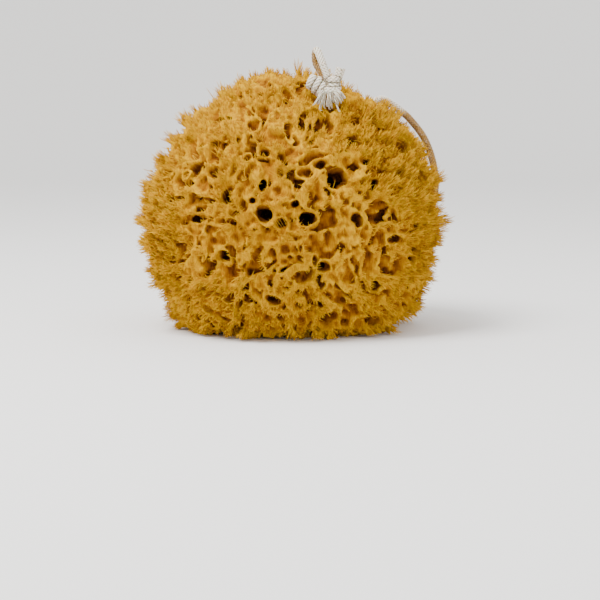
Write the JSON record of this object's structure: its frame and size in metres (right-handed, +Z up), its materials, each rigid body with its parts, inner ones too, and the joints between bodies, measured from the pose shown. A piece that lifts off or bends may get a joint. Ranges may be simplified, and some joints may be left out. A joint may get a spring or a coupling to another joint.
{
  "type": "sea sponge",
  "caption": "Natural honey-gold bath sponge with deep channels and ragged fibrous crests, cut flat below, with a knotted white braided cotton hanging cord.",
  "frame": {"origin": "middle of the flat cut that the sponge rests on", "axes": "+Z up, the front of the sponge faces -Y, and +X is to the right seen from the front"},
  "size_m": [0.1384, 0.1311, 0.1286],
  "materials": {
    "sponge_skeleton": "matte",
    "cotton_cord": "matte"
  },
  "bodies": {
    "root": {"sponge": "sponge_skeleton", "hanging_loop": "cotton_cord", "knot": "cotton_cord"}
  },
  "joints": []
}
